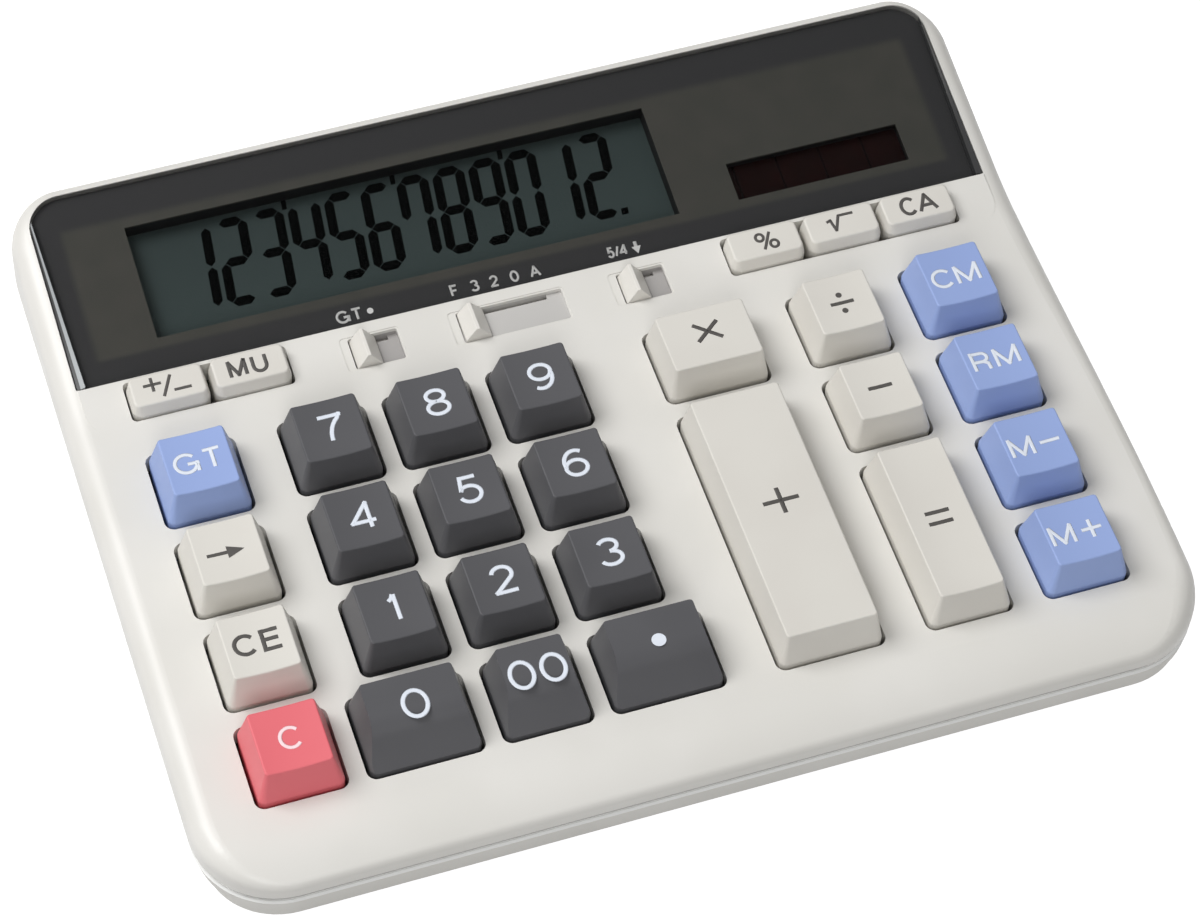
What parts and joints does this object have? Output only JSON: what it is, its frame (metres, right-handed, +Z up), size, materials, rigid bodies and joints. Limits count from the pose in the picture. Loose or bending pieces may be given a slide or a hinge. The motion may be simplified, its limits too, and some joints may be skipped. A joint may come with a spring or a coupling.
{
  "type": "desktop calculator",
  "caption": "Desktop calculator: wedge case in two halves, tilted display panel with solar cell, press keys over a rubber mat, slide switches, board and back-up cell.",
  "frame": {"origin": "on the table, under the middle of the case's bounding box", "axes": "+X to the user's right, +Y away from the user, +Z up; the user sits at -Y"},
  "size_m": [0.1784, 0.143, 0.0367],
  "materials": {
    "case_plastic": "fine satin moulding, warm light grey",
    "base_plastic": "fine satin moulding, warm light grey",
    "window_clear": "clear acrylic, smoked, glossy",
    "mask_print": "printed film, near black with a brown inner field",
    "black_plastic": "black moulding, satin",
    "lcd_glass": "grey-green display glass with dark segments",
    "ribbon_film": "amber film with printed tracks",
    "solar_cell": "dark maroon amorphous cell on glass",
    "lead_insulation": "plastic insulation",
    "mat_rubber": "moulded silicone rubber",
    "board_laminate": "paper laminate, tan",
    "chip_resin": "black resin drop",
    "capacitor_sleeve": "printed sleeve, dark",
    "screw_steel": "zinc plated",
    "foot_rubber": "dark grey rubber",
    "cell_steel": "nickel plated can",
    "contact_metal": "springy brass",
    "wire_steel": "bright drawn wire",
    "knob_ivory": "ivory moulding",
    "key_grey": "dark grey moulding, satin",
    "key_ivory": "ivory moulding, satin",
    "key_blue": "light blue moulding, satin",
    "key_pink": "pink-red moulding, satin"
  },
  "bodies": {
    "root": {"top_case": "case_plastic", "bottom_case": "base_plastic", "display_window": "window_clear", "display_mask": "mask_print", "display_bezel": "black_plastic", "lcd_glass": "lcd_glass", "lcd_ribbon": "ribbon_film", "solar_cell": "solar_cell", "solar_leads": "lead_insulation", "key_mat": "mat_rubber", "main_board": "board_laminate", "controller_chip": "chip_resin", "capacitors": "capacitor_sleeve", "board_screws": "screw_steel", "case_screws": "screw_steel", "rubber_feet": "foot_rubber", "battery_door": "base_plastic", "battery_door_screw": "screw_steel", "button_cell": "cell_steel", "battery_top_contact": "contact_metal", "battery_side_contact": "contact_metal", "battery_leads": "lead_insulation"},
    "key_0": {"key_0": "key_grey"},
    "key_00": {"key_00": "key_grey"},
    "key_1": {"key_1": "key_grey"},
    "key_2": {"key_2": "key_grey"},
    "key_3": {"key_3": "key_grey"},
    "key_4": {"key_4": "key_grey"},
    "key_5": {"key_5": "key_grey"},
    "key_6": {"key_6": "key_grey"},
    "key_7": {"key_7": "key_grey"},
    "key_8": {"key_8": "key_grey"},
    "key_9": {"key_9": "key_grey"},
    "key_backspace": {"key_backspace": "key_ivory"},
    "key_clear": {"key_clear": "key_pink"},
    "key_clear_all": {"key_clear_all": "key_ivory"},
    "key_clear_entry": {"key_clear_entry": "key_ivory"},
    "key_divide": {"key_divide": "key_ivory"},
    "key_equals": {"key_equals": "key_ivory"},
    "key_grand_total": {"key_grand_total": "key_blue"},
    "key_markup": {"key_markup": "key_ivory"},
    "key_memory_clear": {"key_memory_clear": "key_blue"},
    "key_memory_minus": {"key_memory_minus": "key_blue"},
    "key_memory_plus": {"key_memory_plus": "key_blue"},
    "key_memory_recall": {"key_memory_recall": "key_blue"},
    "key_minus": {"key_minus": "key_ivory"},
    "key_multiply": {"key_multiply": "key_ivory"},
    "key_percent": {"key_percent": "key_ivory"},
    "key_plus": {"key_plus": "key_ivory"},
    "key_point": {"key_point": "key_grey"},
    "key_root": {"key_root": "key_ivory"},
    "key_sign": {"key_sign": "key_ivory"},
    "switch_total": {"switch_knob_total": "knob_ivory", "switch_wiper_total": "contact_metal"},
    "switch_decimal": {"switch_knob_decimal": "knob_ivory", "switch_wiper_decimal": "contact_metal"},
    "switch_rounding": {"switch_knob_rounding": "knob_ivory", "switch_wiper_rounding": "contact_metal"},
    "levelling_wire_plus": {"levelling_wire_plus": "wire_steel"},
    "levelling_wire_equals": {"levelling_wire_equals": "wire_steel"}
  },
  "joints": [
    {"name": "key_0_press", "type": "slide", "parent": "root", "child": "key_0", "axis": [0, 0.1045, -0.9945], "range_m": [0, 0.0026], "stiffness_N_per_m": 240, "springref_m": -0.0005, "deforming": ["key_mat"]},
    {"name": "key_00_press", "type": "slide", "parent": "root", "child": "key_00", "axis": [0, 0.1045, -0.9945], "range_m": [0, 0.0026], "stiffness_N_per_m": 240, "springref_m": -0.0005, "deforming": ["key_mat"]},
    {"name": "key_1_press", "type": "slide", "parent": "root", "child": "key_1", "axis": [0, 0.1045, -0.9945], "range_m": [0, 0.0026], "stiffness_N_per_m": 240, "springref_m": -0.0005, "deforming": ["key_mat"]},
    {"name": "key_2_press", "type": "slide", "parent": "root", "child": "key_2", "axis": [0, 0.1045, -0.9945], "range_m": [0, 0.0026], "stiffness_N_per_m": 240, "springref_m": -0.0005, "deforming": ["key_mat"]},
    {"name": "key_3_press", "type": "slide", "parent": "root", "child": "key_3", "axis": [0, 0.1045, -0.9945], "range_m": [0, 0.0026], "stiffness_N_per_m": 240, "springref_m": -0.0005, "deforming": ["key_mat"]},
    {"name": "key_4_press", "type": "slide", "parent": "root", "child": "key_4", "axis": [0, 0.1045, -0.9945], "range_m": [0, 0.0026], "stiffness_N_per_m": 240, "springref_m": -0.0005, "deforming": ["key_mat"]},
    {"name": "key_5_press", "type": "slide", "parent": "root", "child": "key_5", "axis": [0, 0.1045, -0.9945], "range_m": [0, 0.0026], "stiffness_N_per_m": 240, "springref_m": -0.0005, "deforming": ["key_mat"]},
    {"name": "key_6_press", "type": "slide", "parent": "root", "child": "key_6", "axis": [0, 0.1045, -0.9945], "range_m": [0, 0.0026], "stiffness_N_per_m": 240, "springref_m": -0.0005, "deforming": ["key_mat"]},
    {"name": "key_7_press", "type": "slide", "parent": "root", "child": "key_7", "axis": [0, 0.1045, -0.9945], "range_m": [0, 0.0026], "stiffness_N_per_m": 240, "springref_m": -0.0005, "deforming": ["key_mat"]},
    {"name": "key_8_press", "type": "slide", "parent": "root", "child": "key_8", "axis": [0, 0.1045, -0.9945], "range_m": [0, 0.0026], "stiffness_N_per_m": 240, "springref_m": -0.0005, "deforming": ["key_mat"]},
    {"name": "key_9_press", "type": "slide", "parent": "root", "child": "key_9", "axis": [0, 0.1045, -0.9945], "range_m": [0, 0.0026], "stiffness_N_per_m": 240, "springref_m": -0.0005, "deforming": ["key_mat"]},
    {"name": "key_backspace_press", "type": "slide", "parent": "root", "child": "key_backspace", "axis": [0, 0.1045, -0.9945], "range_m": [0, 0.0026], "stiffness_N_per_m": 240, "springref_m": -0.0005, "deforming": ["key_mat"]},
    {"name": "key_clear_press", "type": "slide", "parent": "root", "child": "key_clear", "axis": [0, 0.1045, -0.9945], "range_m": [0, 0.0026], "stiffness_N_per_m": 240, "springref_m": -0.0005, "deforming": ["key_mat"]},
    {"name": "key_clear_all_press", "type": "slide", "parent": "root", "child": "key_clear_all", "axis": [0, 0.1045, -0.9945], "range_m": [0, 0.0026], "stiffness_N_per_m": 240, "springref_m": -0.0005, "deforming": ["key_mat"]},
    {"name": "key_clear_entry_press", "type": "slide", "parent": "root", "child": "key_clear_entry", "axis": [0, 0.1045, -0.9945], "range_m": [0, 0.0026], "stiffness_N_per_m": 240, "springref_m": -0.0005, "deforming": ["key_mat"]},
    {"name": "key_divide_press", "type": "slide", "parent": "root", "child": "key_divide", "axis": [0, 0.1045, -0.9945], "range_m": [0, 0.0026], "stiffness_N_per_m": 240, "springref_m": -0.0005, "deforming": ["key_mat"]},
    {"name": "key_equals_press", "type": "slide", "parent": "root", "child": "key_equals", "axis": [0, 0.1045, -0.9945], "range_m": [0, 0.0026], "stiffness_N_per_m": 240, "springref_m": -0.0005, "deforming": ["key_mat"]},
    {"name": "key_grand_total_press", "type": "slide", "parent": "root", "child": "key_grand_total", "axis": [0, 0.1045, -0.9945], "range_m": [0, 0.0026], "stiffness_N_per_m": 240, "springref_m": -0.0005, "deforming": ["key_mat"]},
    {"name": "key_markup_press", "type": "slide", "parent": "root", "child": "key_markup", "axis": [0, 0.1045, -0.9945], "range_m": [0, 0.0026], "stiffness_N_per_m": 240, "springref_m": -0.0005, "deforming": ["key_mat"]},
    {"name": "key_memory_clear_press", "type": "slide", "parent": "root", "child": "key_memory_clear", "axis": [0, 0.1045, -0.9945], "range_m": [0, 0.0026], "stiffness_N_per_m": 240, "springref_m": -0.0005, "deforming": ["key_mat"]},
    {"name": "key_memory_minus_press", "type": "slide", "parent": "root", "child": "key_memory_minus", "axis": [0, 0.1045, -0.9945], "range_m": [0, 0.0026], "stiffness_N_per_m": 240, "springref_m": -0.0005, "deforming": ["key_mat"]},
    {"name": "key_memory_plus_press", "type": "slide", "parent": "root", "child": "key_memory_plus", "axis": [0, 0.1045, -0.9945], "range_m": [0, 0.0026], "stiffness_N_per_m": 240, "springref_m": -0.0005, "deforming": ["key_mat"]},
    {"name": "key_memory_recall_press", "type": "slide", "parent": "root", "child": "key_memory_recall", "axis": [0, 0.1045, -0.9945], "range_m": [0, 0.0026], "stiffness_N_per_m": 240, "springref_m": -0.0005, "deforming": ["key_mat"]},
    {"name": "key_minus_press", "type": "slide", "parent": "root", "child": "key_minus", "axis": [0, 0.1045, -0.9945], "range_m": [0, 0.0026], "stiffness_N_per_m": 240, "springref_m": -0.0005, "deforming": ["key_mat"]},
    {"name": "key_multiply_press", "type": "slide", "parent": "root", "child": "key_multiply", "axis": [0, 0.1045, -0.9945], "range_m": [0, 0.0026], "stiffness_N_per_m": 240, "springref_m": -0.0005, "deforming": ["key_mat"]},
    {"name": "key_percent_press", "type": "slide", "parent": "root", "child": "key_percent", "axis": [0, 0.1045, -0.9945], "range_m": [0, 0.0026], "stiffness_N_per_m": 240, "springref_m": -0.0005, "deforming": ["key_mat"]},
    {"name": "key_plus_press", "type": "slide", "parent": "root", "child": "key_plus", "axis": [0, 0.1045, -0.9945], "range_m": [0, 0.0026], "stiffness_N_per_m": 240, "springref_m": -0.0005, "deforming": ["key_mat"]},
    {"name": "key_point_press", "type": "slide", "parent": "root", "child": "key_point", "axis": [0, 0.1045, -0.9945], "range_m": [0, 0.0026], "stiffness_N_per_m": 240, "springref_m": -0.0005, "deforming": ["key_mat"]},
    {"name": "key_root_press", "type": "slide", "parent": "root", "child": "key_root", "axis": [0, 0.1045, -0.9945], "range_m": [0, 0.0026], "stiffness_N_per_m": 240, "springref_m": -0.0005, "deforming": ["key_mat"]},
    {"name": "key_sign_press", "type": "slide", "parent": "root", "child": "key_sign", "axis": [0, 0.1045, -0.9945], "range_m": [0, 0.0026], "stiffness_N_per_m": 240, "springref_m": -0.0005, "deforming": ["key_mat"]},
    {"name": "switch_total_slide", "type": "slide", "parent": "root", "child": "switch_total", "axis": [1, 0, 0], "range_m": [0, 0.0038]},
    {"name": "switch_decimal_slide", "type": "slide", "parent": "root", "child": "switch_decimal", "axis": [1, 0, 0], "range_m": [0, 0.0145]},
    {"name": "switch_rounding_slide", "type": "slide", "parent": "root", "child": "switch_rounding", "axis": [1, 0, 0], "range_m": [0, 0.0035]},
    {"name": "levelling_wire_plus_turn", "type": "hinge", "parent": "root", "child": "levelling_wire_plus", "pos_m": [0.03475, -0.0307, 0.01293], "axis": [0, -0.9945, -0.1045], "range_deg": [0, 26.9]},
    {"name": "levelling_wire_equals_turn", "type": "hinge", "parent": "root", "child": "levelling_wire_equals", "pos_m": [0.03805, -0.04015, 0.01194], "axis": [0, 0.9945, 0.1045], "range_deg": [0, 26.9]}
  ],
  "couplings": [
    {"joint": "levelling_wire_plus_turn", "follows": "key_plus_press", "rad_per_m": 180.22},
    {"joint": "levelling_wire_equals_turn", "follows": "key_equals_press", "rad_per_m": 180.22}
  ]
}
